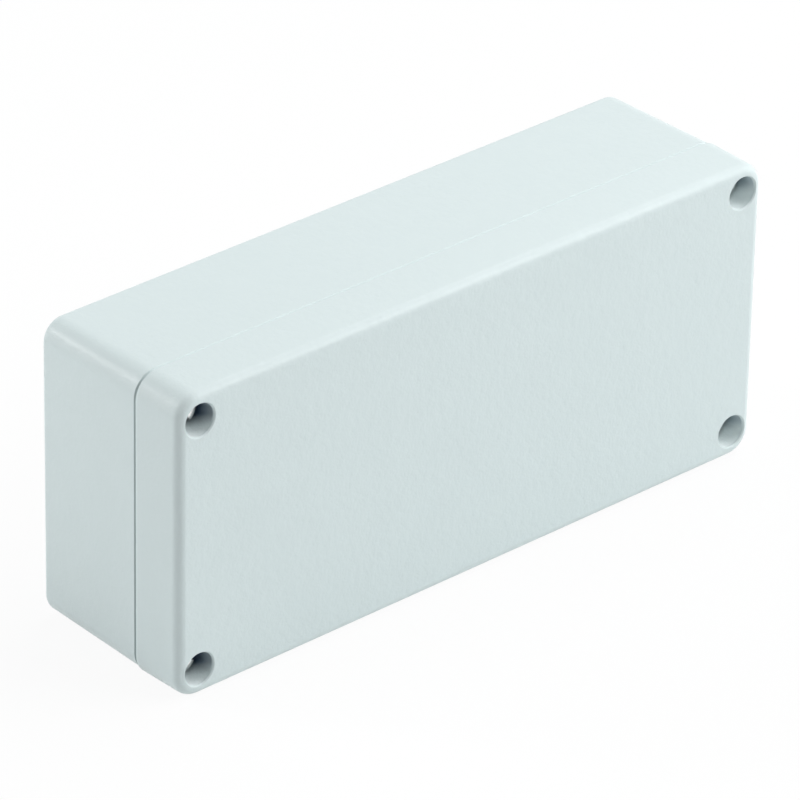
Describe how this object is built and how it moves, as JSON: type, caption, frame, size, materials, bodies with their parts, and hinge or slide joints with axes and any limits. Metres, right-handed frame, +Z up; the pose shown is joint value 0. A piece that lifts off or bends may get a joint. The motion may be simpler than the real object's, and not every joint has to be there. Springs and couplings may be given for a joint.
{
  "type": "die cast aluminium enclosure box",
  "caption": "Shallow rectangular die cast box with a screwed, sealed lid, recessed captive corner screws and fixing wells outside the seal.",
  "frame": {"origin": "middle of the underside of the closed box standing on its long side", "axes": "+X along the box's length, +Y out of the base's back, +Z up; the lid faces -Y"},
  "size_m": [0.15, 0.041, 0.066],
  "materials": {
    "powder_coat": "light silver grey powder coat with a fine texture on die cast aluminium",
    "stainless_steel": "turned stainless steel",
    "plated_steel": "bright zinc plated steel",
    "seal_rubber": "matt black cellular rubber",
    "nylon": "natural nylon"
  },
  "bodies": {
    "base_body": {"base": "powder_coat", "earth_screw": "plated_steel", "earth_lock_washer": "plated_steel", "earth_clamp_washer": "plated_steel"},
    "lid_body": {"lid": "powder_coat", "seal": "seal_rubber"},
    "screw_upper_left": {"lid_screw_upper_left": "stainless_steel", "screw_retainer_upper_left": "nylon"},
    "screw_upper_right": {"lid_screw_upper_right": "stainless_steel", "screw_retainer_upper_right": "nylon"},
    "screw_lower_left": {"lid_screw_lower_left": "stainless_steel", "screw_retainer_lower_left": "nylon"},
    "screw_lower_right": {"lid_screw_lower_right": "stainless_steel", "screw_retainer_lower_right": "nylon"}
  },
  "joints": [
    {"name": "lid_lift", "type": "slide", "parent": "base_body", "child": "lid_body", "axis": [0, -1, 0], "range_m": [0, 0.06]},
    {"name": "screw_turn_upper_left", "type": "hinge", "parent": "lid_body", "child": "screw_upper_left", "pos_m": [-0.0695, -0.008, 0.06], "axis": [0, -1, 0], "continuous": true},
    {"name": "screw_turn_upper_right", "type": "hinge", "parent": "lid_body", "child": "screw_upper_right", "pos_m": [0.0695, -0.008, 0.06], "axis": [0, -1, 0], "continuous": true},
    {"name": "screw_turn_lower_left", "type": "hinge", "parent": "lid_body", "child": "screw_lower_left", "pos_m": [-0.0695, -0.008, 0.006], "axis": [0, -1, 0], "continuous": true},
    {"name": "screw_turn_lower_right", "type": "hinge", "parent": "lid_body", "child": "screw_lower_right", "pos_m": [0.0695, -0.008, 0.006], "axis": [0, -1, 0], "continuous": true}
  ]
}
